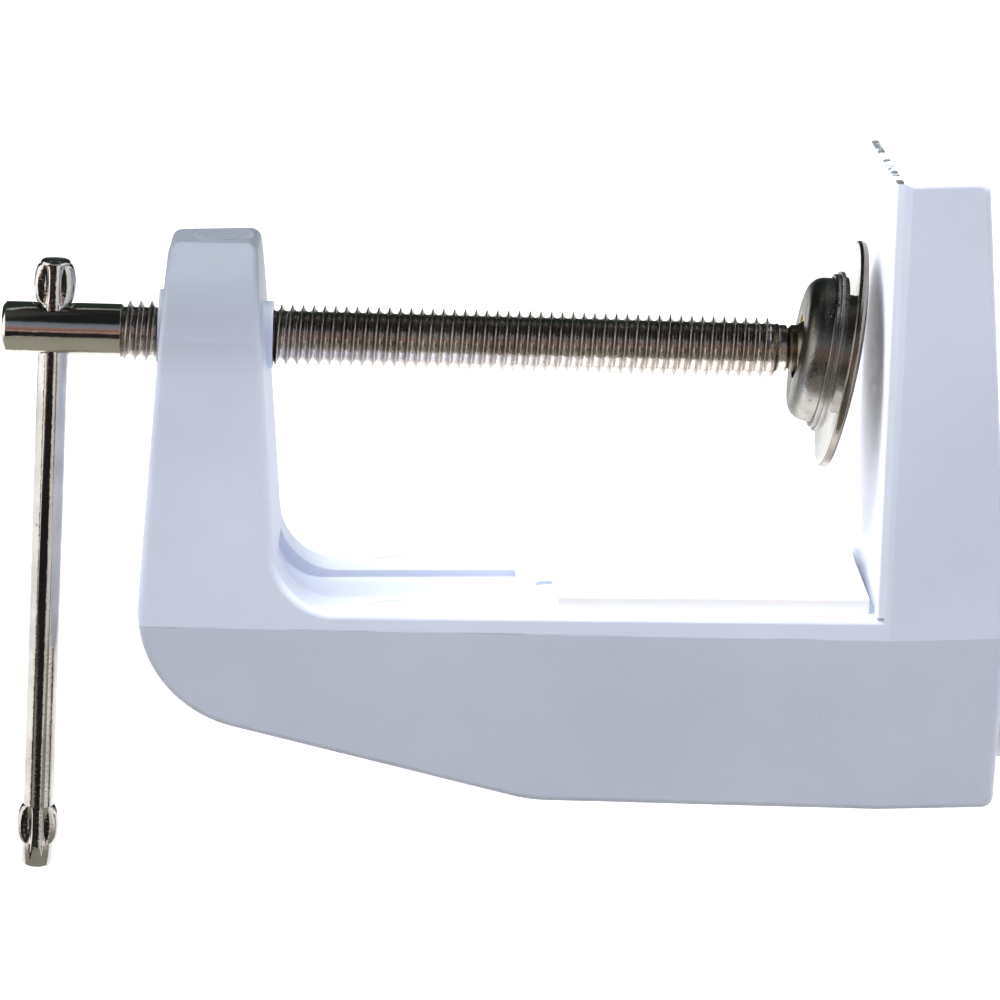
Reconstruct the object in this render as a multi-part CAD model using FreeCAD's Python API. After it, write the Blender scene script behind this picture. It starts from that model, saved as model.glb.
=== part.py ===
import FreeCAD, Part
import math
import os

# Table clamp for a desk lamp. Millimetres, +Z up. The beam lies below, the screw arm and the jaw stand up
# from it, and the screw runs along +X. The origin is on the jaw's gripping face, where the screw's axis
# meets it. The screw's axis and the gripping face are square to each other, and both lean by grip_lean.

Vec = FreeCAD.Vector
UP = Vec(0, 0, 1)
ALONG = Vec(1, 0, 0)
DEPTH = Vec(0, 1, 0)
ORIGIN = Vec(0, 0, 0)

# ---- driving dimensions ----
grip_lean = 1.5                # degrees, screw axis down to the right
slope = math.tan(math.radians(grip_lean))

# frame, side view
beam_top = -31.4
beam_bottom = -58.4
jaw_top = 25.1
jaw_end_x = 16.0               # end face of the jaw at the parting height
jaw_top_x = 12.8               # end face at the jaw's top
jaw_low_x = 15.5               # end face at the underside
arm_out_x = -96.0              # screw arm's outer face at the parting height
arm_out_top_x = -91.9
arm_in_top_x = -80.4
arm_in_low_x = -77.9
arm_top = 15.2
arm_round_ease = 0.02          # the round end meets the drafted sides this far outside their tangent
belly_x = -45.3                # where the underside starts to slope up
belly_z = -57.3
belly_rise = 14.4              # degrees
heel_r = 16.0                  # big round under the screw arm
throat_r = 8.0                 # inner corner between the arm and the beam
jaw_corner_r = 2.0
side_corner_r = 1.6            # the arm's top corners and the corner under the jaw
side_bend_r = 30.0             # the slight bends in the end faces
belly_r = 20.0
jaw_bend_reach = 8.0           # how far above and below the parting height the jaw's end bends
arm_bend_reach = 4.0
sharp_turn = 25.0              # degrees, edges that turn by more are rounded
tool_half = 30.0               # half the width of the shapes that cut across the clamp
edge_r = 0.9                   # rounding along the casting's long edges

# frame, seen from above: half widths at the parting height, and their draft
part_z = -34.4                 # at the fold beside the jaw
part_tilt = 0.0094             # the parting height rises towards the screw arm
half_left = 15.3
half_jaw = 19.3
half_end = 17.2
fold_low_x = 0.2               # the casting is widest along a fold beside the jaw's inner face
fold_x = 0.9
fold_top_x = 2.9
draft_up_left = 2.85           # how much each half width shrinks up to the jaw's top
draft_up_jaw = 1.3
draft_down = 3.9               # how much each half width shrinks down to the underside

# channel and moulding marks on the beam
channel_half = 7.7
channel_depth = 0.9
channel_end_x = -46.8
channel_top_z = -25.4
channel_r = 6.5
channel_reach = 0.9            # how far the channel goes into the screw arm
mark_r = 3.4
mark_x = -62.6
mark_y = 12.4
mark_depth = 0.15
top_mark_r = 3.75
top_mark_x = -85.0
top_mark_height = 0.2
edge_hole_r = 1.7
edge_hole_x = -42.6
edge_hole_depth = 0.5
scribe_w = 0.4                 # fine groove between the channel and that hole
scribe_depth = 0.25

# liner and edge pad
liner_t = 1.0
liner_r = 0.35
pad_from_x = -42.1
pad_to_x = -1.5
pad_half_left = 15.6
pad_half_right = 17.0
pad_t = 2.3
pad_r = 0.5

# lamp socket in the jaw's end
socket_z = -45.0
socket_face_x = 15.6
socket_mouth_x = 18.3
socket_bore_r = 6.1
socket_depth = 38.0
socket_tube_r = 7.5
socket_flange_r = 9.8
socket_floor = 2.0
socket_lip_r = 0.8

# screw, measured along its own axis from the gripping face
thread_r = 3.97
root_r = 3.14
pitch = 1.411
thread_from = -98.5
thread_turns = 61
thread_runout = 0.6
head_from = -113.95
head_r = 3.5
head_chamfer = 0.4
neck_r = 3.05
neck_to = -11.6
journal_r = 1.9
rivet_from = -5.1
rivet_r = 2.5
rivet_t = 0.7
rivet_chamfer = 0.5
cross_hole_at = -107.35
cross_hole_r = 2.3
cross_hole_chamfer = 0.5

# threaded bush in the arm, along the screw's axis
bush_r = 5.6
bush_from = -93.6
bush_step = -81.0
bush_to = -78.7
bush_collar_r = 4.4
bush_clearance = 0.05

# cross bar
bar_r = 2.0
bar_up = 9.3                   # from the screw's axis to the bar's upper end
bar_down = 72.9
bar_chamfer = 0.35
bar_lean = 1.2                 # degrees, play in the cross hole
ear_half_width = 2.75
ear_half_height = 2.6
ear_thick = 2.7
upper_ear_at = 6.05
lower_ear_at = -67.1

# swivel pad, measured along its own axis from the ball's centre
pivot_at = -7.9
pad_droop = 8.4                # degrees, drooping from the screw's axis
ball_r = 3.9
ball_front = 2.7
ball_bore_reach = 6.0
collar_from = -3.6
collar_to = -2.0
collar_r = 3.1
collar_chamfer = 0.5
running_gap = 0.05
seat_r = 4.75
seat_half = 1.5
cup_back = -2.2
cup_r = 9.7
cup_wall = 0.9
cup_front = 2.2
cup_back_r = 9.2
cup_shoulder_r = 2.2
flange_r = 10.6
flange_t = 0.6
ring_r = 10.2
ring_t = 0.7
ring_edge_r = 0.3
flange_edge_r = 0.2
retainer_back = 1.2
retainer_play = 0.02
retainer_flange_r = 10.0
retainer_flange_t = 0.5
retainer_neck_r = 7.8
retainer_front = 4.4
disc_r = 15.0
disc_t = 1.15
disc_dish = 1.6
disc_front = 5.75
disc_edge_r = 0.4


# ---- helpers ----
def polygon(points):
    return Part.makePolygon(points + [points[0]])


def plan_wire(points, z, tilt=0):
    """A closed outline seen from above, mirrored to both sides of the middle plane."""
    near = [Vec(x, -half, z - tilt * x) for x, half in points]
    far = [Vec(x, half, z - tilt * x) for x, half in reversed(points)]
    return polygon(near + far)


def turned(face):
    """Revolve a face whose outline is drawn as (along, radius) about the X axis."""
    return face.revolve(ORIGIN, ALONG, 360)


def rod(from_x, to_x, radius):
    return Part.makeCylinder(radius, to_x - from_x, Vec(from_x, 0, 0), ALONG)


def ball(radius, from_x, to_x):
    """The slice of a ball about the origin between two planes square to X."""
    slab = Part.makeBox(to_x - from_x, 4 * radius, 4 * radius, Vec(from_x, -2 * radius, -2 * radius))
    return Part.makeSphere(radius).common(slab)


def shell_about_disc():
    """The dished disc's two faces as one spherical shell around a far centre."""
    outer = (disc_r ** 2 + disc_dish ** 2) / (2 * disc_dish)
    centre = Vec(disc_front - outer, 0, 0)
    return Part.makeSphere(outer, centre).cut(Part.makeSphere(outer - disc_t, centre))


def on_screw_axis(shape):
    shape.rotate(ORIGIN, DEPTH, grip_lean)
    return shape


def on_pad_axis(shape):
    """Turn a pad piece by the screw's lean and the pad's droop, and move it to the ball's centre."""
    shape.rotate(ORIGIN, DEPTH, grip_lean + pad_droop)
    lean = math.radians(grip_lean)
    shape.translate(Vec(pivot_at * math.cos(lean), 0, -pivot_at * math.sin(lean)))
    return shape


def rounded(points, radii=None):
    """A face in the XZ plane, with a tangent arc of the given radius at each corner of its outline."""
    corners = [Vec(x, 0, z) for x, z in points]
    radii = radii or [0] * len(corners)
    edges = []
    last_end = None
    first_start = None
    for i, here in enumerate(corners):
        before = (corners[i - 1] - here).normalize()
        after = (corners[(i + 1) % len(corners)] - here).normalize()
        half_angle = before.getAngle(after) / 2
        run = radii[i] / math.tan(half_angle)
        start = here + before * run
        end = here + after * run
        if last_end is None:
            first_start = start
        else:
            edges.append(Part.LineSegment(last_end, start).toShape())
        if radii[i] > 0:
            bulge = radii[i] / math.sin(half_angle) - radii[i]
            middle = here + (before + after).normalize() * bulge
            edges.append(Part.Arc(start, middle, end).toShape())
        last_end = end
    edges.append(Part.LineSegment(last_end, first_start).toShape())
    return Part.Face(Part.Wire(edges))


# ---- frame ----
def side_view():
    """The C-shaped outline of beam, screw arm and jaw, with the liner's thickness left free."""
    belly_drop = math.tan(math.radians(belly_rise)) * (belly_x - arm_out_x)
    jaw_in = liner_t
    points = [
        (arm_out_top_x, arm_top),
        (arm_in_top_x, arm_top),
        (arm_in_low_x, beam_top),
        (jaw_in + slope * beam_top, beam_top),
        (jaw_in + slope * jaw_top, jaw_top),
        (jaw_top_x, jaw_top),
        (jaw_end_x, part_z + jaw_bend_reach),
        (jaw_end_x, part_z - jaw_bend_reach),
        (jaw_low_x, beam_bottom),
        (belly_x, belly_z),
        (arm_out_x, belly_z + belly_drop),
        (arm_out_x, part_z + arm_bend_reach),
    ]
    radii = [side_corner_r, side_corner_r, throat_r, 0, 0, jaw_corner_r,
             side_bend_r, side_bend_r, side_corner_r, belly_r, heel_r, side_bend_r]
    return rounded(points, radii)


def arm_axis_z():
    """Height of the screw's axis in the middle of the screw arm."""
    return -slope * (arm_out_x + arm_in_low_x) / 2


def draft_block():
    """The casting's plan outline, drafted inwards above and below the parting height."""
    left = arm_out_x - 1
    end = jaw_end_x + 1
    parting = [(left, half_left), (fold_x, half_jaw), (end, half_end)]
    over = [(left, half_left - draft_up_left), (fold_top_x, half_jaw - draft_up_jaw),
            (end, half_end - draft_up_jaw)]
    under = [(left, half_left - draft_down), (fold_low_x, half_jaw - draft_down),
             (end, half_end - draft_down)]
    parting_wire = plan_wire(parting, part_z, part_tilt)
    upper = Part.makeLoft([parting_wire, plan_wire(over, jaw_top + 1)], True, True)
    lower = Part.makeLoft([plan_wire(under, beam_bottom - 1), parting_wire], True, True)
    return upper.fuse(lower)


def arm_half(x, z):
    """The drafted half width of the casting at a place on the screw arm."""
    left = arm_out_x - 1
    low_share = (x - left) / (fold_x - left)
    high_share = (x - left) / (fold_top_x - left)
    low = half_left + (half_jaw - half_left) * low_share
    high_left = half_left - draft_up_left
    high = high_left + (half_jaw - draft_up_jaw - high_left) * high_share
    low_z = part_z - part_tilt * x
    return low + (high - low) * (z - low_z) / (jaw_top + 1 - low_z)


def arm_corners():
    """What lies outside the screw arm's round end, which runs on from the drafted sides."""
    middle = arm_axis_z()
    start = arm_out_x - 1
    length = arm_in_low_x - start + 1
    radii = []
    for x in (start, start + length):
        lean = math.atan(arm_half(x, middle) - arm_half(x, middle + 1))
        radii.append(arm_half(x, middle) * math.cos(lean) + arm_round_ease)
    block = Part.makeBox(length, 2 * tool_half, tool_half, Vec(start, -tool_half, middle))
    round_end = Part.makeCone(radii[0], radii[1], length, Vec(start, 0, middle), ALONG)
    return block.cut(round_end)


def channel():
    """The shallow channel along the beam, which fades out up the screw arm's inner face."""
    left = arm_in_low_x - channel_reach
    low = beam_top - channel_depth
    outline = [(left, channel_top_z), (left, low), (channel_end_x, low), (channel_end_x, channel_top_z)]
    trough = rounded(outline, [0, channel_r, 0, 0])
    trough.translate(DEPTH * -channel_half)
    return trough.extrude(DEPTH * 2 * channel_half)


def sharp_edges(shape, least_turn):
    """Convex edges where the surface turns by more than least_turn degrees."""
    found = []
    for edge in shape.Edges:
        sides = shape.ancestorsOfType(edge, Part.Face)
        if len(sides) != 2:
            continue
        middle = edge.valueAt((edge.FirstParameter + edge.LastParameter) / 2)
        normals = []
        for side in sides:
            u, v = side.Surface.parameter(middle)
            normals.append(side.normalAt(u, v))
        turn = math.degrees(normals[0].getAngle(normals[1]))
        outward = (normals[0] + normals[1]).normalize()
        convex = not shape.isInside(middle + outward * 0.05, 1e-4, False)
        if turn > least_turn and convex:
            found.append(edge)
    return found


def beside_liner(edge):
    """True for the jaw's edges that the liner covers, which stay sharp."""
    box = edge.BoundBox
    return box.XMin > -1.5 and box.XMax < 3 and box.ZMin > part_z - 1


def make_casting():
    """The plain casting with its long edges rounded."""
    profile = side_view()
    profile.translate(DEPTH * -tool_half)
    body = profile.extrude(DEPTH * 2 * tool_half)
    body = body.common(draft_block())
    body = body.cut(arm_corners())
    body = body.removeSplitter().Solids[0]
    edges = [edge for edge in sharp_edges(body, sharp_turn) if not beside_liner(edge)]
    return body.makeFillet(edge_r, edges)


def make_frame():
    body = make_casting()
    body = body.fuse(Part.makeCylinder(top_mark_r, 1 + top_mark_height, Vec(top_mark_x, 0, arm_top - 1)))
    body = body.cut(channel())
    for side in (-1, 1):
        body = body.cut(Part.makeCylinder(mark_r, 2, Vec(mark_x, side * mark_y, beam_top - mark_depth)))
    body = body.cut(Part.makeCylinder(edge_hole_r, 10, Vec(edge_hole_x, 0, beam_top - edge_hole_depth)))
    scribe = Part.makeBox(edge_hole_x - channel_end_x, scribe_w, 1)
    scribe.translate(Vec(channel_end_x, -scribe_w / 2, beam_top - scribe_depth))
    body = body.cut(scribe)
    body = body.cut(on_screw_axis(bush_blank()))
    body = body.cut(socket_blank())
    return body.Solids[0]


def make_jaw_liner():
    outline = [(slope * beam_top, beam_top), (liner_t + slope * beam_top, beam_top),
               (liner_t + slope * jaw_top, jaw_top), (slope * jaw_top, jaw_top)]
    plate = rounded(outline)
    plate.translate(DEPTH * -tool_half)
    plate = plate.extrude(DEPTH * 2 * tool_half).common(draft_block()).Solids[0]
    grip_edges = []
    for edge in plate.Edges:
        middle = edge.valueAt((edge.FirstParameter + edge.LastParameter) / 2)
        if abs(middle.x - slope * middle.z) < 0.01 and middle.z > beam_top + 1:
            grip_edges.append(edge)
    return plate.makeFillet(liner_r, grip_edges)


def make_edge_pad():
    outline = [(pad_from_x, pad_half_left), (pad_to_x, pad_half_right)]
    block = Part.Face(plan_wire(outline, beam_top)).extrude(UP * pad_t)
    edges = []
    for edge in block.Edges:
        if edge.BoundBox.ZMax > beam_top + 0.1:
            edges.append(edge)
    return block.makeFillet(pad_r, edges)


# ---- lamp socket ----
def socket_blank():
    """The bush's outside, from its closed end to its flange."""
    back = socket_mouth_x - socket_depth - socket_floor
    tube = rod(back, socket_face_x, socket_tube_r)
    flange = rod(socket_face_x, socket_mouth_x, socket_flange_r)
    blank = tube.fuse(flange)
    blank.translate(UP * socket_z)
    return blank


def make_socket_bush():
    back = socket_mouth_x - socket_depth - socket_floor
    outline = [
        (back, 0),
        (back, socket_tube_r),
        (socket_face_x, socket_tube_r),
        (socket_face_x, socket_flange_r),
        (socket_mouth_x, socket_flange_r),
        (socket_mouth_x, socket_bore_r),
        (socket_mouth_x - socket_depth, socket_bore_r),
        (socket_mouth_x - socket_depth, 0),
    ]
    bush = turned(rounded(outline, [0, 0, 0, 0, socket_lip_r, 0, 0, 0]))
    bush.translate(UP * socket_z)
    return bush


# ---- screw and its bush ----
def bush_blank():
    return rod(bush_from - 3, bush_step, bush_r).fuse(rod(bush_step, bush_to + 3, bush_collar_r))


def make_thread_bush():
    bush = rod(bush_from, bush_step, bush_r).fuse(rod(bush_step, bush_to, bush_collar_r))
    bush = bush.cut(rod(bush_from - 1, bush_to + 1, thread_r + bush_clearance))
    return on_screw_axis(bush)


def thread_outline():
    """Points of the thread's rings: narrow crests with wide roots between them."""
    points = []
    for i in range(thread_turns):
        start = thread_from + i * pitch
        points.append((start, root_r if i else head_r))
        points.append((start + 0.25 * pitch, root_r))
        points.append((start + 0.54 * pitch, thread_r))
        points.append((start + 0.71 * pitch, thread_r))
    return points


def make_clamp_screw():
    thread_to = thread_from + thread_turns * pitch
    outline = [(head_from, 0), (head_from, head_r - head_chamfer), (head_from + head_chamfer, head_r)]
    outline += thread_outline()
    outline += [
        (thread_to + thread_runout, neck_r),
        (neck_to, neck_r),
        (neck_to, journal_r),
        (rivet_from, journal_r),
        (rivet_from, rivet_r),
        (rivet_from + rivet_t, rivet_r - rivet_chamfer),
        (rivet_from + rivet_t, 0),
    ]
    screw = turned(rounded(outline))
    hole = Part.makeCylinder(cross_hole_r, 4 * head_r, Vec(cross_hole_at, 0, -2 * head_r))
    wide = cross_hole_r + 2 * cross_hole_chamfer
    for direction in (1, -1):
        mouth = Vec(cross_hole_at, 0, direction * (head_r - cross_hole_chamfer))
        hole = hole.fuse(Part.makeCone(cross_hole_r, wide, 2 * cross_hole_chamfer, mouth, UP * direction))
    return on_screw_axis(screw.cut(hole))


# ---- cross bar ----
def ear(height):
    """A pinched pair of ears: a flat slice that bulges past both sides of the bar."""
    low = height - ear_half_height
    high = height + ear_half_height
    right = Part.Arc(Vec(bar_r, 0, low), Vec(ear_half_width, 0, height), Vec(bar_r, 0, high)).toShape()
    left = Part.Arc(Vec(-bar_r, 0, high), Vec(-ear_half_width, 0, height), Vec(-bar_r, 0, low)).toShape()
    over = Part.LineSegment(Vec(bar_r, 0, high), Vec(-bar_r, 0, high)).toShape()
    under = Part.LineSegment(Vec(-bar_r, 0, low), Vec(bar_r, 0, low)).toShape()
    face = Part.Face(Part.Wire([right, over, left, under]))
    face.translate(DEPTH * (-ear_thick / 2))
    return face.extrude(DEPTH * ear_thick)


def make_tommy_bar():
    bar = Part.makeCylinder(bar_r, bar_up + bar_down, Vec(0, 0, -bar_down))
    rims = [edge for edge in bar.Edges if edge.Curve.TypeId == "Part::GeomCircle"]
    bar = bar.makeChamfer(bar_chamfer, rims)
    bar = bar.fuse(ear(upper_ear_at)).fuse(ear(lower_ear_at))
    bar.rotate(ORIGIN, DEPTH, bar_lean)
    bar.translate(ALONG * cross_hole_at)
    return on_screw_axis(bar)


# ---- swivel pad ----
def make_swivel_ball():
    """A ball with an olive collar behind it, bored for the screw's journal."""
    outline = [(collar_from, 0), (collar_from, collar_r - collar_chamfer),
               (collar_from + collar_chamfer, collar_r), (collar_to, collar_r), (collar_to, 0)]
    collar = turned(rounded(outline))
    shape = collar.fuse(ball(ball_r, collar_from + collar_chamfer, ball_front))
    shape = shape.cut(rod(-ball_bore_reach, ball_bore_reach, journal_r + running_gap))
    shape.translate(ALONG * pivot_at)
    return on_screw_axis(shape)


def make_swivel_seat():
    """A spherical ring that wraps the ball and swings with the pad."""
    ring = ball(seat_r, -seat_half, seat_half).cut(Part.makeSphere(ball_r + running_gap))
    ring.translate(ALONG * pivot_at)
    return on_screw_axis(ring)


def cup_inside(x):
    """Radius of the cup's conical inside at a place along its axis."""
    back = cup_back + cup_wall
    share = (x - back) / (cup_front - back)
    return cup_back_r - cup_wall + (cup_r - cup_back_r) * share


def make_swivel_cup():
    outline = [
        (cup_back, seat_r - 1),
        (cup_back, cup_back_r),
        (cup_front - flange_t, cup_r),
        (cup_front - flange_t, flange_r),
        (cup_front, flange_r),
        (cup_front, cup_r - cup_wall),
        (cup_back + cup_wall, cup_back_r - cup_wall),
        (cup_back + cup_wall, seat_r - 1),
    ]
    cup = turned(rounded(outline, [0, cup_shoulder_r, 0, 0, flange_edge_r, 0, cup_shoulder_r - cup_wall, 0]))
    return on_pad_axis(cup.cut(Part.makeSphere(seat_r + running_gap)))


def make_cup_ring():
    back = cup_front - flange_t - ring_t
    outline = [(back, cup_r), (back, ring_r), (cup_front - flange_t, ring_r), (cup_front - flange_t, cup_r)]
    return on_pad_axis(turned(rounded(outline, [0, ring_edge_r, 0, 0])))


def make_retainer_ring():
    """Holds the seat from the front and carries the disc."""
    outline = [
        (retainer_back, seat_r - 1),
        (retainer_back, cup_inside(retainer_back) - retainer_play),
        (cup_front, cup_inside(cup_front) - retainer_play),
        (cup_front, retainer_flange_r),
        (cup_front + retainer_flange_t, retainer_flange_r),
        (cup_front + retainer_flange_t, retainer_neck_r),
        (retainer_front, retainer_neck_r),
        (retainer_front, seat_r),
        (cup_front, seat_r),
        (cup_front, seat_r - 1),
    ]
    ring = turned(rounded(outline)).cut(Part.makeSphere(seat_r + running_gap))
    return on_pad_axis(ring.cut(shell_about_disc()).Solids[0])


def make_pressure_disc():
    disc = shell_about_disc().common(rod(0, disc_front + 1, disc_r)).Solids[0]
    rims = [edge for edge in disc.Edges if abs(edge.BoundBox.ZMax - disc_r) < 0.01 and edge.Length > disc_r]
    return on_pad_axis(disc.makeFillet(disc_edge_r, rims))


PARTS = {
    "frame": make_frame,
    "jaw_liner": make_jaw_liner,
    "edge_pad": make_edge_pad,
    "socket_bush": make_socket_bush,
    "thread_bush": make_thread_bush,
    "clamp_screw": make_clamp_screw,
    "tommy_bar": make_tommy_bar,
    "swivel_ball": make_swivel_ball,
    "swivel_seat": make_swivel_seat,
    "swivel_cup": make_swivel_cup,
    "cup_ring": make_cup_ring,
    "retainer_ring": make_retainer_ring,
    "pressure_disc": make_pressure_disc,
}

os.makedirs("parts", exist_ok=True)
for name, make in PARTS.items():
    shape = make()
    shape.exportStep("parts/" + name + ".step")
    print(name, shape.isValid(), len(shape.Solids), round(shape.Volume, 1))
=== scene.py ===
import math
import bpy
import bmesh
from mathutils import Matrix, Vector


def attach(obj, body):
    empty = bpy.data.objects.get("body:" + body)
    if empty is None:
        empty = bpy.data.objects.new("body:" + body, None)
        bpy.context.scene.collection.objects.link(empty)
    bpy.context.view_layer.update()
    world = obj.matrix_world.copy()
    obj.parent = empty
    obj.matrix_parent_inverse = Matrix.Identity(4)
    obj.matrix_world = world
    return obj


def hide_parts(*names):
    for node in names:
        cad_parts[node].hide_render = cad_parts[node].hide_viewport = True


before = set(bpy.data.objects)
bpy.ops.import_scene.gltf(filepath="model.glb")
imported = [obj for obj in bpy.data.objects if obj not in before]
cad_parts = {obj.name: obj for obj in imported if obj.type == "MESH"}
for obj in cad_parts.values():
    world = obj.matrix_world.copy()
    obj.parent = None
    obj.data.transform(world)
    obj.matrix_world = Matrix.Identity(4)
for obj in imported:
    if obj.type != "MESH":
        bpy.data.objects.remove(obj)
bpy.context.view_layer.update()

# The looks of a table clamp for a desk lamp. Metres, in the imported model's own frame: +X runs from the
# screw arm to the jaw, +Z up the jaw, and the origin is where the screw's axis meets the jaw's face.

MM = 0.001

# ---- places and sizes, most of them as in the CAD model ----
GRIP_LEAN = math.radians(1.5)
SCREW_AXIS = Vector((math.cos(GRIP_LEAN), 0, -math.sin(GRIP_LEAN)))
ARM_INSIDE = -75 * MM
PAD_LEAN = math.radians(9.9)
PAD_AXIS = Vector((math.cos(PAD_LEAN), 0, -math.sin(PAD_LEAN)))
HEAD_FROM = -113.95 * MM
HEAD_TO = -98.5 * MM
HEAD_R = 3.5 * MM
THREAD_R = 3.97 * MM
ROOT_R = 3.14 * MM
PITCH = 1.411 * MM
THREAD_TURNS = 61
NECK_R = 3.05 * MM
NECK_TO = -11.6 * MM
CROSS_HOLE_AT = -107.35 * MM
CROSS_HOLE_R = 2.3 * MM
CROSS_HOLE_CHAMFER = 0.55 * MM
JOURNAL_R = 1.9 * MM
RIVET_FROM = -5.1 * MM
BAR_R = 2.0 * MM
BAR_UP = 9.3 * MM
BAR_DOWN = 72.9 * MM
BAR_LEAN = math.radians(1.2)
EAR_HALF_WIDTH = 2.75 * MM
EAR_HALF_HEIGHT = 2.6 * MM
BAR_END = ((0.0, 0.5 * MM), (0.0, 1.45 * MM), (0.12 * MM, 1.78 * MM), (0.40 * MM, 2.0 * MM))
EAR_FIN_ANGLE = 0.62
EAR_CREASE_AT = 0.98
EAR_CREASE_ANGLE = 0.17
EAR_CREASE_DEPTH = 0.42 * MM
EAR_PLACES = (6.05 * MM, -67.1 * MM)
PART_Z = -34.4 * MM
PART_TILT = 0.0094
FLOOR_Z = -0.30
LINER_TOP = 25.1 * MM
CARD_Z = -0.299


# ---------------------------------------------------------------- meshes
def new_piece(name, mesh, material, smooth_angle=35):
    mesh.materials.append(material)
    mesh.shade_smooth()
    piece = bpy.data.objects.new(name, mesh)
    bpy.context.collection.objects.link(piece)
    mark_sharp(mesh, math.radians(smooth_angle))
    return piece


def mark_sharp(mesh, angle):
    """Edges that turn by more than the angle are shaded sharp."""
    bm = bmesh.new()
    bm.from_mesh(mesh)
    for edge in bm.edges:
        edge.smooth = len(edge.link_faces) != 2 or edge.calc_face_angle(0) < angle
    bm.to_mesh(mesh)
    bm.free()


def grid_mesh(name, rows, wrap_shift=0):
    """A closed tube through rows of points, each row once around.

    wrap_shift joins each row's end to the start of a later row, which makes a helix.
    """
    bm = bmesh.new()
    verts = [[bm.verts.new(point) for point in row] for row in rows]
    columns = len(rows[0])
    last = len(rows) - 1
    for k in range(last):
        for j in range(columns):
            shift = wrap_shift if j == columns - 1 else 0
            low = min(k + shift, last)
            high = min(k + 1 + shift, last)
            nxt = (j + 1) % columns
            quad = (verts[k][j], verts[low][nxt], verts[high][nxt], verts[k + 1][j])
            if len(set(quad)) >= 3 and bm.faces.get(tuple(dict.fromkeys(quad))) is None:
                bm.faces.new(tuple(dict.fromkeys(quad)))
    bm.faces.new(list(reversed(verts[0])))
    bm.faces.new(verts[last])
    bmesh.ops.remove_doubles(bm, verts=bm.verts, dist=1e-7)
    bmesh.ops.dissolve_degenerate(bm, edges=bm.edges, dist=1e-7)
    bmesh.ops.recalc_face_normals(bm, faces=bm.faces)
    mesh = bpy.data.meshes.new(name)
    bm.to_mesh(mesh)
    bm.free()
    return mesh


def ring(along, radius, columns):
    step = 2 * math.pi / columns
    return [(along, radius * math.cos(j * step), radius * math.sin(j * step)) for j in range(columns)]


def onto_screw_axis(mesh):
    mesh.transform(Matrix.Rotation(GRIP_LEAN, 4, "Y"))


def smoothstep(value):
    value = min(max(value, 0.0), 1.0)
    return value * value * (3 - 2 * value)


# ---------------------------------------------------------------- materials
class Shader:
    """A material with one Principled shader and short calls for its nodes."""

    def __init__(self, name, color, **settings):
        self.material = bpy.data.materials.new(name)
        self.material.use_nodes = True
        self.tree = self.material.node_tree
        self.main = self.tree.nodes["Principled BSDF"]
        self.main.inputs["Base Color"].default_value = (*color, 1)
        for socket, value in settings.items():
            self.main.inputs[socket.replace("_", " ")].default_value = value

    def add(self, kind, links=(), **settings):
        node = self.tree.nodes.new(kind)
        for key, value in settings.items():
            setattr(node, key, value)
        for socket, source in dict(links).items():
            self.plug(node.inputs[socket], source)
        return node

    def plug(self, socket, source):
        if hasattr(source, "is_output"):
            self.tree.links.new(source, socket)
        else:
            socket.default_value = source

    def place(self):
        return self.add("ShaderNodeTexCoord").outputs["Object"]

    def noise(self, scale, detail=3.0, rough=0.5, stretch=None):
        place = self.place()
        if stretch:
            place = self.add("ShaderNodeMapping", {"Vector": place, "Scale": stretch}).outputs[0]
        node = self.add("ShaderNodeTexNoise", {"Vector": place, "Scale": scale, "Detail": detail,
                                               "Roughness": rough})
        return node.outputs["Fac"]

    def span(self, value, low, high, to_low=0.0, to_high=1.0):
        node = self.add("ShaderNodeMapRange", {"Value": value, "From Min": low, "From Max": high,
                                               "To Min": to_low, "To Max": to_high})
        return node.outputs["Result"]

    def math(self, operation, first, second=0.0):
        node = self.add("ShaderNodeMath", {0: first, 1: second}, operation=operation)
        return node.outputs[0]

    def mix(self, amount, first, second):
        node = self.add("ShaderNodeMix", data_type="RGBA")
        self.plug(node.inputs["Factor"], amount)
        for socket, value in ((node.inputs[6], first), (node.inputs[7], second)):
            if isinstance(value, tuple):
                value = (*value, 1)
            self.plug(socket, value)
        return node.outputs[2]

    def bump(self, height, distance, strength=1.0):
        node = self.add("ShaderNodeBump", {"Height": height, "Distance": distance, "Strength": strength})
        self.tree.links.new(node.outputs["Normal"], self.main.inputs["Normal"])

    def specks(self, scale, size, share):
        """Scattered dots: 1 inside a dot, with only the given share of the cells holding one."""
        cells = self.add("ShaderNodeTexVoronoi", {"Vector": self.place(), "Scale": scale})
        near = self.span(cells.outputs["Distance"], size, size * 0.6)
        chance = self.add("ShaderNodeSeparateColor", {0: cells.outputs["Color"]}).outputs[0]
        picked = self.math("LESS_THAN", chance, share)
        return self.math("MULTIPLY", near, picked)

    def facing(self, axis):
        """How squarely the surface faces along an axis of its own piece: 1 for a flat face, 0 for a rim."""
        normal = self.add("ShaderNodeTexCoord").outputs["Normal"]
        along = self.add("ShaderNodeVectorMath", {0: normal, 1: tuple(axis)}, operation="DOT_PRODUCT")
        return along.outputs["Value"]

    def worn_edges(self, radius):
        """0 on open surfaces, rising to 1 where the surface turns sharply."""
        bevel = self.add("ShaderNodeBevel", {"Radius": radius}, samples=6)
        true = self.add("ShaderNodeNewGeometry").outputs["Normal"]
        facing = self.add("ShaderNodeVectorMath", {0: bevel.outputs[0], 1: true}, operation="DOT_PRODUCT")
        return self.span(facing.outputs["Value"], 0.995, 0.9)


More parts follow.
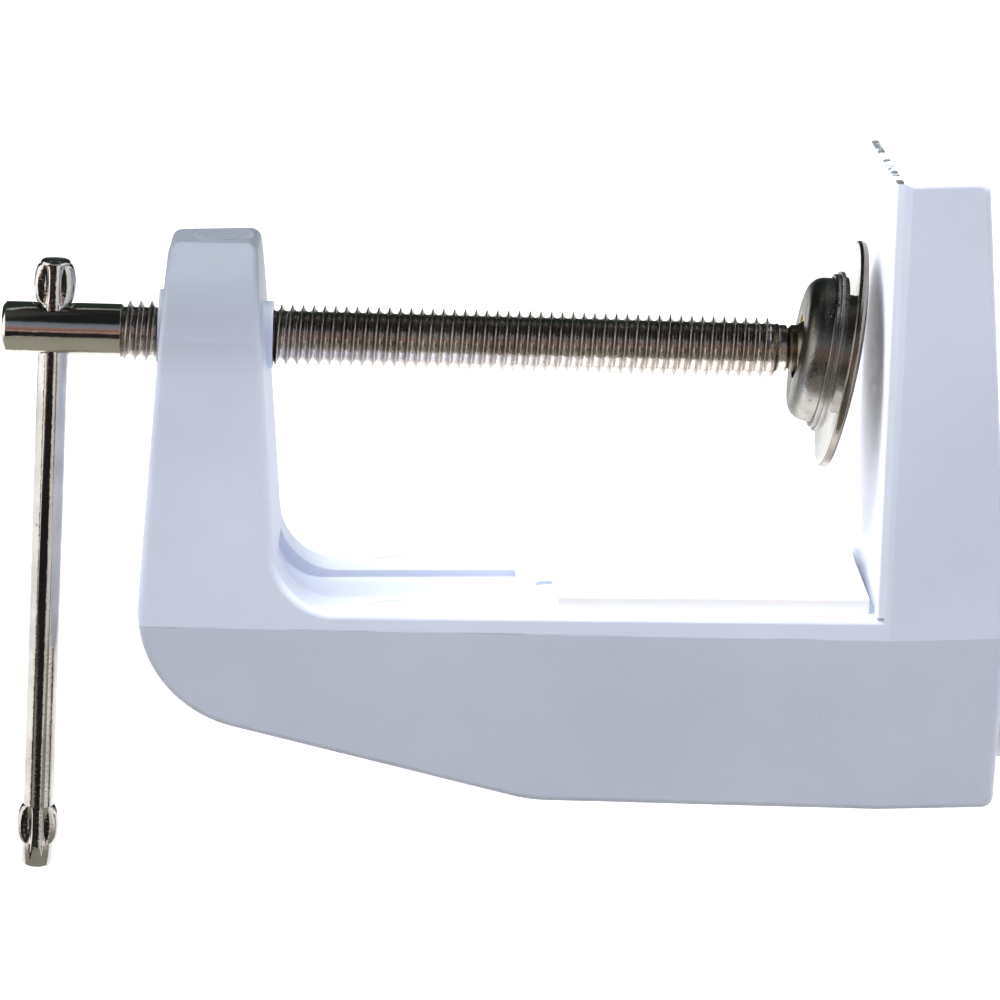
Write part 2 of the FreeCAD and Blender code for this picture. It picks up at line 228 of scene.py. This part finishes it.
def painted_casting():
    """Satin pale blue-grey paint over a die casting, with the mould's parting line and painted shade that
    darkens the arm's upper part.
    """
    s = Shader("painted_casting", (0.60, 0.64, 0.76), Roughness=0.42, Specular_IOR_Level=0.45,
               Coat_Weight=0.12, Coat_Roughness=0.25)
    cloud = s.noise(45, 4)
    fine = s.noise(900, 3)
    tone = s.mix(s.span(cloud, 0.35, 0.65), (0.570, 0.612, 0.745), (0.610, 0.652, 0.780))
    tone = s.mix(s.math("MULTIPLY", s.specks(900, 0.13, 0.10), 0.40), tone, (0.36, 0.37, 0.44))
    tone = s.mix(s.math("MULTIPLY", s.specks(700, 0.10, 0.06), 0.45), tone, (0.86, 0.88, 0.95))
    axes = s.add("ShaderNodeSeparateXYZ", {0: s.place()})
    # Painted shade: the arm's upper part, from just below the screw up over its round top, is painted darker.
    on_arm = s.span(axes.outputs["X"], ARM_INSIDE + 2 * MM, ARM_INSIDE)
    high = s.span(axes.outputs["Z"], -1 * MM, 13 * MM)
    tone = s.mix(s.math("MULTIPLY", on_arm, high), tone, (0.31, 0.345, 0.42))
    line_z = s.math("MULTIPLY_ADD", axes.outputs["X"], PART_TILT)
    line_z.node.inputs[2].default_value = -PART_Z
    above = s.math("ADD", axes.outputs["Z"], line_z)
    near_line = s.span(s.math("ABSOLUTE", above), 0.00016, 0.00005)
    broken = s.span(s.noise(70, 2, stretch=(1, 1, 0.2)), 0.42, 0.55)
    line = s.math("MULTIPLY", near_line, broken)
    tone = s.mix(s.math("MULTIPLY", line, 0.60), tone, (0.36, 0.38, 0.45))
    edges = s.worn_edges(0.0006)
    tone = s.mix(s.math("MULTIPLY", edges, 0.35), tone, (0.80, 0.83, 0.90))
    s.plug(s.main.inputs["Base Color"], tone)
    s.plug(s.main.inputs["Roughness"], s.span(fine, 0.3, 0.7, 0.36, 0.50))
    height = s.math("ADD", s.math("MULTIPLY", fine, 0.5), s.math("MULTIPLY", s.noise(220, 2), 1.0))
    s.bump(s.math("SUBTRACT", height, s.math("MULTIPLY", line, 0.8)), 0.00006, 0.35)
    return s.material


def liner_plate():
    """Thin satin plate on the jaw's face, the body's colour, with a faint rolled grain."""
    s = Shader("liner_plate", (0.64, 0.68, 0.79), Roughness=0.38, Specular_IOR_Level=0.5)
    grain = s.noise(160, 3, stretch=(1, 1, 14))
    tone = s.mix(s.span(grain, 0.3, 0.7), (0.62, 0.66, 0.775), (0.665, 0.70, 0.81))
    tone = s.mix(s.math("MULTIPLY", s.specks(420, 0.14, 0.12), 0.4), tone, (0.40, 0.42, 0.47))
    height = s.add("ShaderNodeSeparateXYZ", {0: s.place()}).outputs["Z"]
    cut_edge = s.span(height, LINER_TOP - 0.30 * MM, LINER_TOP - 0.12 * MM)
    broken = s.span(s.noise(420, 3), 0.40, 0.52, 0.15, 0.95)
    tone = s.mix(s.math("MULTIPLY", cut_edge, broken), tone, (0.05, 0.06, 0.055))
    s.plug(s.main.inputs["Base Color"], tone)
    s.plug(s.main.inputs["Roughness"], s.span(grain, 0.3, 0.7, 0.30, 0.46))
    s.bump(grain, 0.00003, 0.4)
    return s.material


def white_pad():
    """Soft white pad, very slightly waxy, with a faint texture and scattered soiled specks."""
    s = Shader("white_pad", (0.77, 0.77, 0.77), Roughness=0.5, Specular_IOR_Level=0.4, Subsurface_Weight=0.15,
               Subsurface_Scale=0.001)
    cloud = s.noise(60, 3)
    tone = s.mix(s.span(cloud, 0.3, 0.7), (0.74, 0.745, 0.75), (0.80, 0.80, 0.80))
    tone = s.mix(s.math("MULTIPLY", s.specks(300, 0.12, 0.05), 0.3), tone, (0.55, 0.55, 0.52))
    s.plug(s.main.inputs["Base Color"], tone)
    s.plug(s.main.inputs["Roughness"], s.span(s.noise(500, 2), 0.3, 0.7, 0.44, 0.60))
    s.bump(s.noise(700, 3), 0.00005, 0.3)
    return s.material


def white_plastic():
    """Moulded bush for the lamp's spigot, satin, with a fine texture and lighter worn edges."""
    s = Shader("white_plastic", (0.80, 0.82, 0.86), Roughness=0.4, Specular_IOR_Level=0.5)
    cloud = s.noise(80, 3)
    tone = s.mix(s.span(cloud, 0.3, 0.7), (0.77, 0.79, 0.835), (0.84, 0.855, 0.89))
    tone = s.mix(s.math("MULTIPLY", s.worn_edges(0.0004), 0.4), tone, (0.90, 0.91, 0.93))
    s.plug(s.main.inputs["Base Color"], tone)
    s.plug(s.main.inputs["Roughness"], s.span(s.noise(600, 2), 0.3, 0.7, 0.32, 0.48))
    s.bump(s.noise(500, 3), 0.00003, 0.3)
    return s.material


def plated_metal(name, light, dark, smooth, dull, grain, stretch, bump, pebble_height=0.8):
    """Plated steel: two tones that drift, a roughness that varies, and fine grain along one direction."""
    s = Shader(name, light, Metallic=1.0, Roughness=(smooth + dull) / 2)
    drift = s.noise(140, 4)
    tone = s.mix(s.span(drift, 0.35, 0.7), light, dark)
    s.plug(s.main.inputs["Base Color"], tone)
    lines = s.noise(grain, 4, 0.6, stretch)
    s.plug(s.main.inputs["Roughness"], s.span(lines, 0.3, 0.7, smooth, dull))
    pebbles = s.noise(2600, 2)
    s.bump(s.math("ADD", lines, s.math("MULTIPLY", pebbles, pebble_height)), bump, 0.6)
    return s, tone


def thread_metal():
    """The plated thread: crests in the plain plated tone, flanks darkened in patches with painted shade, and
    the grain of rolling.
    """
    s, tone = plated_metal("thread_metal", (0.70, 0.655, 0.61), (0.52, 0.465, 0.42), 0.13, 0.30, 2600,
                           (1, 0.12, 0.12), 0.00010, 0.9)
    place = s.place()
    along = s.add("ShaderNodeVectorMath", {0: place, 1: tuple(SCREW_AXIS)}, operation="DOT_PRODUCT")
    foot = s.add("ShaderNodeVectorMath", {0: tuple(SCREW_AXIS), "Scale": along.outputs["Value"]},
                 operation="SCALE")
    away = s.add("ShaderNodeVectorMath", {0: place, 1: foot.outputs[0]}, operation="DISTANCE")
    below_crest = s.span(away.outputs["Value"], THREAD_R - 0.14 * MM, THREAD_R - 0.30 * MM)
    above_root = s.span(away.outputs["Value"], ROOT_R + 0.03 * MM, ROOT_R + 0.14 * MM)
    # Painted shade: the flanks, between the crests and the roots, are darkened in noisy patches.
    flank = s.math("MULTIPLY", below_crest, above_root)
    painted_flank_shade = s.math("MULTIPLY", flank, s.span(s.noise(2400, 3), 0.35, 0.70, 0.0, 0.45))
    tone = s.mix(painted_flank_shade, tone, (0.16, 0.12, 0.095))
    s.plug(s.main.inputs["Base Color"], tone)
    return s.material


def head_metal():
    s, tone = plated_metal("head_metal", (0.80, 0.78, 0.74), (0.70, 0.66, 0.61), 0.07, 0.17, 700,
                           (0.2, 1, 1), 0.00002)
    tone = s.mix(s.math("MULTIPLY", s.specks(330, 0.10, 0.10), 0.6), tone, (0.9, 0.88, 0.85))
    s.plug(s.main.inputs["Base Color"], tone)
    return s.material


def bar_metal():
    s, tone = plated_metal("bar_metal", (0.74, 0.73, 0.71), (0.52, 0.50, 0.475), 0.05, 0.14, 500,
                           (1, 1, 0.15), 0.00003, 1.4)
    pits = s.specks(700, 0.18, 0.10)
    tone = s.mix(s.math("MULTIPLY", pits, 0.6), tone, (0.20, 0.19, 0.18))
    s.plug(s.main.inputs["Base Color"], tone)
    return s.material


def cup_metal():
    s, tone = plated_metal("cup_metal", (0.38, 0.365, 0.34), (0.26, 0.245, 0.225), 0.22, 0.40, 650,
                           (1, 0.35, 0.35), 0.00005, 1.6)
    # Painted shade: the cup's flat face, turned back along the screw, is painted much darker than its sides.
    tone = s.mix(s.span(s.facing(-PAD_AXIS), 0.45, 0.90), tone, (0.12, 0.115, 0.10))
    tone = s.mix(s.math("MULTIPLY", s.worn_edges(0.0003), 0.5), tone, (0.66, 0.63, 0.58))
    tone = s.mix(s.math("MULTIPLY", s.specks(1100, 0.26, 0.28), 0.6), tone, (0.12, 0.115, 0.10))
    s.plug(s.main.inputs["Base Color"], tone)
    return s.material


def disc_metal():
    s, tone = plated_metal("disc_metal", (0.30, 0.265, 0.225), (0.18, 0.155, 0.125), 0.16, 0.30, 600,
                           (1, 0.3, 0.3), 0.00003)
    tone = s.mix(s.math("MULTIPLY", s.worn_edges(0.0003), 0.5), tone, (0.55, 0.50, 0.44))
    # Painted reflection: the disc's flat face, turned back towards the cup, is painted near white.
    tone = s.mix(s.span(s.facing(-PAD_AXIS), 0.90, 0.98), tone, (0.86, 0.86, 0.84))
    s.plug(s.main.inputs["Base Color"], tone)
    return s.material


def olive_metal():
    s, tone = plated_metal("olive_metal", (0.30, 0.27, 0.20), (0.18, 0.16, 0.12), 0.22, 0.42, 600,
                           (1, 1, 1), 0.00004)
    tone = s.mix(s.math("MULTIPLY", s.worn_edges(0.0003), 0.5), tone, (0.55, 0.50, 0.40))
    s.plug(s.main.inputs["Base Color"], tone)
    return s.material


def brass():
    s, _ = plated_metal("brass", (0.72, 0.56, 0.28), (0.58, 0.42, 0.20), 0.22, 0.38, 600, (1, 1, 1), 0.00003)
    return s.material


# ---------------------------------------------------------------- the screw
COLUMNS = 64
THREAD_SAMPLES = (0.0, 0.04, 0.09, 0.15, 0.22, 0.30, 0.38, 0.46, 0.54, 0.62, 0.70, 0.78, 0.85, 0.91, 0.96)


def thread_radius(phase):
    """The rolled thread's outline over one pitch: hollow roots that sweep up to narrow crests."""
    away = abs((phase % 1.0) - 0.5) * 2
    return ROOT_R + (THREAD_R - ROOT_R) * min(1.0, (away / 0.93) ** 2.8)


def thread_rows():
    """Rings of points that follow the helix and fade into the head and the neck."""
    start = HEAD_TO
    end = HEAD_TO + THREAD_TURNS * PITCH
    rows = []
    for turn in range(-1, THREAD_TURNS + 1):
        for sample in THREAD_SAMPLES:
            row = []
            for j in range(COLUMNS):
                angle = 2 * math.pi * j / COLUMNS
                along = start + PITCH * (turn + sample + j / COLUMNS)
                fade_in = smoothstep((along - start) / (0.2 * PITCH))
                fade_out = smoothstep((end - along) / (0.9 * PITCH))
                radius = HEAD_R + (thread_radius(sample) - HEAD_R) * fade_in
                radius = NECK_R + (radius - NECK_R) * fade_out
                along = min(max(along, start), end)
                row.append((along, radius * math.cos(angle), -radius * math.sin(angle)))
            rows.append(row)
    return rows


def make_thread(material):
    mesh = grid_mesh("screw_thread", thread_rows(), len(THREAD_SAMPLES))
    onto_screw_axis(mesh)
    return new_piece("screw_thread", mesh, material, 50)


def cross_hole_rows():
    """A tool that cuts the cross hole, with a chamfer where it comes out at the top and the bottom."""
    mouth_from = HEAD_R - CROSS_HOLE_CHAMFER
    beyond = 8 * MM
    beyond_r = 4.8 * MM
    half = [(mouth_from, CROSS_HOLE_R), (HEAD_R, CROSS_HOLE_R + CROSS_HOLE_CHAMFER), (beyond, beyond_r)]
    outline = [(-height, radius) for height, radius in reversed(half)] + half
    rows = []
    for height, radius in outline:
        angles = [2 * math.pi * j / COLUMNS for j in range(COLUMNS)]
        rows.append([(CROSS_HOLE_AT + radius * math.cos(a), radius * math.sin(a), height) for a in angles])
    return rows


def make_head(material):
    """The smooth head with a chamfered end, a lip beside the thread and the cross hole."""
    chamfer = 0.45 * MM
    lip = 0.08 * MM
    outline = [
        (HEAD_FROM, 0.3 * MM),
        (HEAD_FROM, HEAD_R - chamfer - lip),
        (HEAD_FROM + lip / 2, HEAD_R - chamfer),
        (HEAD_FROM + chamfer, HEAD_R - lip / 2),
        (HEAD_FROM + chamfer + lip, HEAD_R),
        (HEAD_TO - lip, HEAD_R),
        (HEAD_TO + lip / 2, HEAD_R - lip),
    ]
    rows = [ring(along, radius, COLUMNS) for along, radius in outline]
    mesh = grid_mesh("screw_head", rows)
    head = new_piece("screw_head", mesh, material, 30)
    cutter = new_piece("cutter", grid_mesh("cutter", cross_hole_rows()), material)
    cut = head.modifiers.new("cross_hole", "BOOLEAN")
    cut.object = cutter
    cut.solver = "EXACT"
    depsgraph = bpy.context.evaluated_depsgraph_get()
    mesh = bpy.data.meshes.new_from_object(head.evaluated_get(depsgraph))
    head.modifiers.clear()
    head.data = mesh
    mesh.name = "screw_head"
    bpy.data.objects.remove(cutter)
    mark_sharp(mesh, math.radians(30))
    onto_screw_axis(mesh)
    return head


def make_neck(material):
    start = HEAD_TO + THREAD_TURNS * PITCH
    edge = 0.15 * MM
    outline = [
        (start - 0.2 * MM, NECK_R - 0.02 * MM),
        (start, NECK_R),
        (NECK_TO - edge, NECK_R),
        (NECK_TO, NECK_R - edge),
        (NECK_TO, JOURNAL_R),
        (RIVET_FROM, JOURNAL_R),
        (RIVET_FROM, 2.35 * MM),
        (RIVET_FROM + edge, 2.5 * MM),
        (RIVET_FROM + 0.5 * MM, 2.2 * MM),
        (RIVET_FROM + 0.7 * MM, 1.4 * MM),
        (RIVET_FROM + 0.75 * MM, 0.4 * MM),
    ]
    mesh = grid_mesh("screw_neck", [ring(along, radius, COLUMNS) for along, radius in outline])
    onto_screw_axis(mesh)
    return new_piece("screw_neck", mesh, material, 30)


# ---------------------------------------------------------------- the cross bar
def ear_size(height):
    """0 away from the pinched ears, 1 at their widest."""
    for place in EAR_PLACES:
        offset = abs(height - place) / EAR_HALF_HEIGHT
        if offset < 1:
            return math.sqrt(1 - offset * offset)
    return 0.0


def bar_point(height, angle):
    """The round bar, squeezed front and back at the ears so that fins stand out on both sides."""
    size = ear_size(height)
    side = math.acos(min(1.0, abs(math.cos(angle))))
    fin = math.exp(-(side / EAR_FIN_ANGLE) ** 4)
    crease = math.exp(-((side - EAR_CREASE_AT) / EAR_CREASE_ANGLE) ** 2)
    radius = BAR_R + size * ((EAR_HALF_WIDTH - BAR_R) * fin - EAR_CREASE_DEPTH * crease)
    return (radius * math.cos(angle), radius * math.sin(angle), height)


def make_bar(material):
    columns = 96
    ear_steps = 40
    rows = []

    def add_end(height, inward):
        for inset, radius in BAR_END:
            place = height + inward * inset
            angles = [2 * math.pi * j / columns for j in range(columns)]
            rows.append([(radius * math.cos(a), radius * math.sin(a), place) for a in angles])

    add_end(-BAR_DOWN, 1)
    heights = []
    for middle in sorted(EAR_PLACES):
        for i in range(ear_steps + 1):
            heights.append(middle - EAR_HALF_HEIGHT * math.cos(math.pi * i / ear_steps))
    for height in heights:
        rows.append([bar_point(height, 2 * math.pi * j / columns) for j in range(columns)])
    top = len(rows)
    add_end(BAR_UP, -1)
    rows[top:] = list(reversed(rows[top:]))
    mesh = grid_mesh("cross_bar", rows)
    mesh.transform(Matrix.Translation((CROSS_HOLE_AT, 0, 0)) @ Matrix.Rotation(BAR_LEAN, 4, "Y"))
    onto_screw_axis(mesh)
    return new_piece("cross_bar", mesh, material, 40)


# ---------------------------------------------------------------- putting it together
def dress(node, material):
    """Give a CAD node its finish."""
    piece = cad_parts[node]
    piece.data.materials.clear()
    piece.data.materials.append(material)


def build_object():
    casting = painted_casting()
    cup = cup_metal()
    dress("frame", casting)
    dress("thread_bush", casting)
    dress("jaw_liner", liner_plate())
    dress("edge_pad", white_pad())
    dress("socket_bush", white_plastic())
    dress("swivel_ball", olive_metal())
    dress("swivel_seat", brass())
    for node in ("swivel_cup", "cup_ring", "retainer_ring"):
        dress(node, cup)
    dress("pressure_disc", disc_metal())
    thread = thread_metal()
    for piece in (make_head(head_metal()), make_thread(thread), make_neck(thread)):
        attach(piece, "screw")
        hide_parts("clamp_screw")
    bar = make_bar(bar_metal())
    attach(bar, "cross_bar")
    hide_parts("tommy_bar")


# ---------------------------------------------------------------- stage
def make_floor():
    size = 12.0
    mesh = bpy.data.meshes.new("floor")
    corners = [(-size, -size, FLOOR_Z), (size, -size, FLOOR_Z), (size, size, FLOOR_Z), (-size, size, FLOOR_Z)]
    mesh.from_pydata(corners, [], [(0, 1, 2, 3)])
    s = Shader("floor_paper", (0.80, 0.80, 0.80), Roughness=0.9, Specular_IOR_Level=0.1)
    s.plug(s.main.inputs["Base Color"], s.mix(s.noise(3, 2), (0.79, 0.79, 0.79), (0.81, 0.81, 0.81)))
    mesh.materials.append(s.material)
    floor = bpy.data.objects.new("floor", mesh)
    floor.visible_glossy = False
    bpy.context.collection.objects.link(floor)


def make_world():
    """A light room with a dark ceiling and a dim side in front, which round metal shows as dark bands."""
    world = bpy.data.worlds.new("studio")
    bpy.context.scene.world = world
    world.use_nodes = True
    tree = world.node_tree
    back = tree.nodes["Background"]
    place = tree.nodes.new("ShaderNodeTexCoord")
    split = tree.nodes.new("ShaderNodeSeparateXYZ")
    tree.links.new(place.outputs["Generated"], split.inputs[0])

    def by_height(stops):
        """A ramp from straight down at 0 through the horizon at 0.5 to straight up at 1."""
        scale = tree.nodes.new("ShaderNodeMapRange")
        scale.inputs["From Min"].default_value = -1
        tree.links.new(split.outputs["Z"], scale.inputs["Value"])
        ramp = tree.nodes.new("ShaderNodeValToRGB")
        tree.links.new(scale.outputs[0], ramp.inputs[0])
        elements = ramp.color_ramp.elements
        for position, _ in stops[1:-1]:
            elements.new(position)
        for element, (_, color) in zip(elements, stops):
            element.color = (*color, 1)
        return ramp.outputs[0]

    sides = by_height((
        (0.0, (0.34, 0.31, 0.28)),
        (0.30, (0.40, 0.37, 0.33)),
        (0.39, (1.35, 1.31, 1.27)),
        (0.70, (1.35, 1.31, 1.27)),
        (0.80, (0.10, 0.11, 0.10)),
        (1.0, (0.03, 0.03, 0.03)),
    ))
    rear = by_height((
        (0.0, (1.3, 1.3, 1.3)),
        (0.44, (1.2, 1.2, 1.2)),
        (0.50, (0.60, 0.62, 0.60)),
        (0.56, (0.035, 0.045, 0.04)),
        (0.955, (0.02, 0.03, 0.025)),
        (0.963, (0.8, 0.8, 0.75)),
        (0.971, (0.02, 0.02, 0.02)),
        (1.0, (0.02, 0.02, 0.02)),
    ))
    front = by_height((
        (0.0, (0.75, 0.73, 0.70)),
        (0.48, (0.85, 0.83, 0.80)),
        (0.50, (0.22, 0.12, 0.09)),
        (0.60, (0.30, 0.17, 0.13)),
        (0.64, (0.22, 0.24, 0.29)),
        (0.76, (0.17, 0.19, 0.23)),
        (0.81, (0.012, 0.016, 0.016)),
        (1.0, (0.015, 0.015, 0.015)),
    ))

    level = tree.nodes.new("ShaderNodeCombineXYZ")
    tree.links.new(split.outputs["X"], level.inputs["X"])
    tree.links.new(split.outputs["Y"], level.inputs["Y"])
    compass = tree.nodes.new("ShaderNodeVectorMath")
    compass.operation = "NORMALIZE"
    tree.links.new(level.outputs[0], compass.inputs[0])
    heading = tree.nodes.new("ShaderNodeSeparateXYZ")
    tree.links.new(compass.outputs[0], heading.inputs[0])

    def along_y(low, high):
        """0 to 1 as the compass heading turns from the front towards the rear."""
        turn = tree.nodes.new("ShaderNodeMapRange")
        turn.interpolation_type = "SMOOTHSTEP"
        turn.inputs["From Min"].default_value = low
        turn.inputs["From Max"].default_value = high
        tree.links.new(heading.outputs["Y"], turn.inputs["Value"])
        return turn.outputs[0]

    def blend(amount, first, second):
        mix = tree.nodes.new("ShaderNodeMix")
        mix.data_type = "RGBA"
        tree.links.new(amount, mix.inputs["Factor"])
        tree.links.new(first, mix.inputs[6])
        tree.links.new(second, mix.inputs[7])
        return mix.outputs[2]

    room = blend(along_y(-0.80, -0.60), front, sides)
    room = blend(along_y(0.28, 0.34), room, rear)
    tree.links.new(room, back.inputs[0])
    back.inputs["Strength"].default_value = 1.0


def add_sun(name, origin, strength, spread, color=(1, 1, 1)):
    """Light from far away, out of the direction origin, spread degrees wide; reflections don't show it."""
    light = bpy.data.lights.new(name, "SUN")
    light.energy = strength
    light.angle = math.radians(spread)
    light.color = color
    lamp = bpy.data.objects.new(name, light)
    lamp.rotation_euler = Vector(origin).to_track_quat("Z", "Y").to_euler()
    lamp.visible_glossy = False
    bpy.context.collection.objects.link(lamp)


def add_throat_light():
    """A small soft lamp above the throat, which lifts the jaw's gripping face."""
    light = bpy.data.lights.new("throat_light", "AREA")
    light.shape = "DISK"
    light.size = 0.14
    light.energy = 1.3
    lamp = bpy.data.objects.new("throat_light", light)
    lamp.location = (-0.115, -0.03, 0.22)
    lamp.rotation_euler = (lamp.location - Vector((0, 0, -0.005))).to_track_quat("Z", "Y").to_euler()
    lamp.visible_glossy = False
    lamp.visible_camera = False
    bpy.context.collection.objects.link(lamp)


def make_flag():
    """A dark sheet over the arm, which only shades it: the arm's round top stays as grey as its side."""
    height = 0.036
    left, right = -0.116, -0.074
    front, rear = -0.024, 0.030
    corners = [(left, front, height), (right, front, height), (right, rear, height), (left, rear, height)]
    flag = make_card("arm_flag", corners, (0.02, 0.02, 0.02), False)
    flag.visible_glossy = False
    flag.visible_shadow = True


def make_lights():
    add_sun("top_back", (-0.10, 0.30, 1.0), 4.5, 60)
    add_sun("front_high", (0.35, -1.0, 1.15), 1.40, 60, (0.93, 0.965, 1.0))
    add_sun("left_soft", (-1.0, -0.02, 0.5), 1.2, 80)
    add_throat_light()


def make_card(name, corners, color, in_shading):
    """A sheet that the clamp sees and the camera doesn't, as a studio's flags are kept out of the picture."""
    mesh = bpy.data.meshes.new(name)
    mesh.from_pydata(corners, [], [(0, 1, 2, 3)])
    s = Shader(name, color, Roughness=0.9, Specular_IOR_Level=0.0)
    low = tuple(0.9 * value for value in color)
    s.plug(s.main.inputs["Base Color"], s.mix(s.noise(4, 2), low, color))
    mesh.materials.append(s.material)
    card = bpy.data.objects.new(name, mesh)
    card.visible_camera = False
    card.visible_diffuse = in_shading
    card.visible_shadow = False
    bpy.context.collection.objects.link(card)
    return card


def floor_card(name, near_y, far_y, near_x, far_x, color):
    corners = [(near_x[0], near_y, CARD_Z), (near_x[1], near_y, CARD_Z), (far_x[1], far_y, CARD_Z),
               (far_x[0], far_y, CARD_Z)]
    make_card(name, corners, color, True)


def make_cards():
    floor_card("near_card", 0.08, -0.62, (-0.45, 0.30), (-0.45, 0.30), (0.15, 0.145, 0.12))
    floor_card("dark_card", -0.62, -3.0, (-1.2, 0.03), (-5.3, 0.53), (0.008, 0.008, 0.008))
    floor_card("left_dark_card", -0.20, -0.62, (-0.62, -0.46), (-1.30, -0.46), (0.008, 0.008, 0.008))
    floor_card("brown_card", -3.0, -7.0, (-5.3, 0.53), (-11.0, 1.4), (0.12, 0.06, 0.045))
    floor_card("right_card", 0.02, -2.05, (0.5, 3.0), (2.1, 3.0), (0.05, 0.05, 0.045))
    for name, near, far in (("rear_left_card", -0.95, -2.8), ("rear_right_card", 0.5, 2.8)):
        rear = [(near, 1.3, -0.30), (far, 1.3, -0.30), (far, 1.3, 0.02), (near, 1.3, 0.02)]
        make_card(name, rear, (0.10, 0.10, 0.08), False)
    make_flag()


def make_camera():
    camera = bpy.data.cameras.new("camera")
    camera.lens = 178.07
    camera.sensor_width = 36
    camera.clip_start = 0.01
    eye = bpy.data.objects.new("camera", camera)
    tilt = math.radians(12.667)
    yaw = math.radians(1.025)
    roll = math.radians(0.242)
    forward = Vector((math.sin(yaw) * math.cos(tilt), math.cos(yaw) * math.cos(tilt), -math.sin(tilt)))
    level = Vector((math.cos(yaw), -math.sin(yaw), 0))
    upward = level.cross(forward)
    right = level * math.cos(roll) + upward * math.sin(roll)
    up = upward * math.cos(roll) - level * math.sin(roll)
    turn = Matrix((right, up, -forward)).transposed().to_4x4()
    eye.matrix_world = Matrix.Translation((-0.06034, -0.63564, 0.1228)) @ turn
    bpy.context.collection.objects.link(eye)
    bpy.context.scene.camera = eye


make_camera()
build_object()
make_floor()
make_world()
make_lights()
make_cards()
bpy.context.scene.view_settings.view_transform = "Standard"
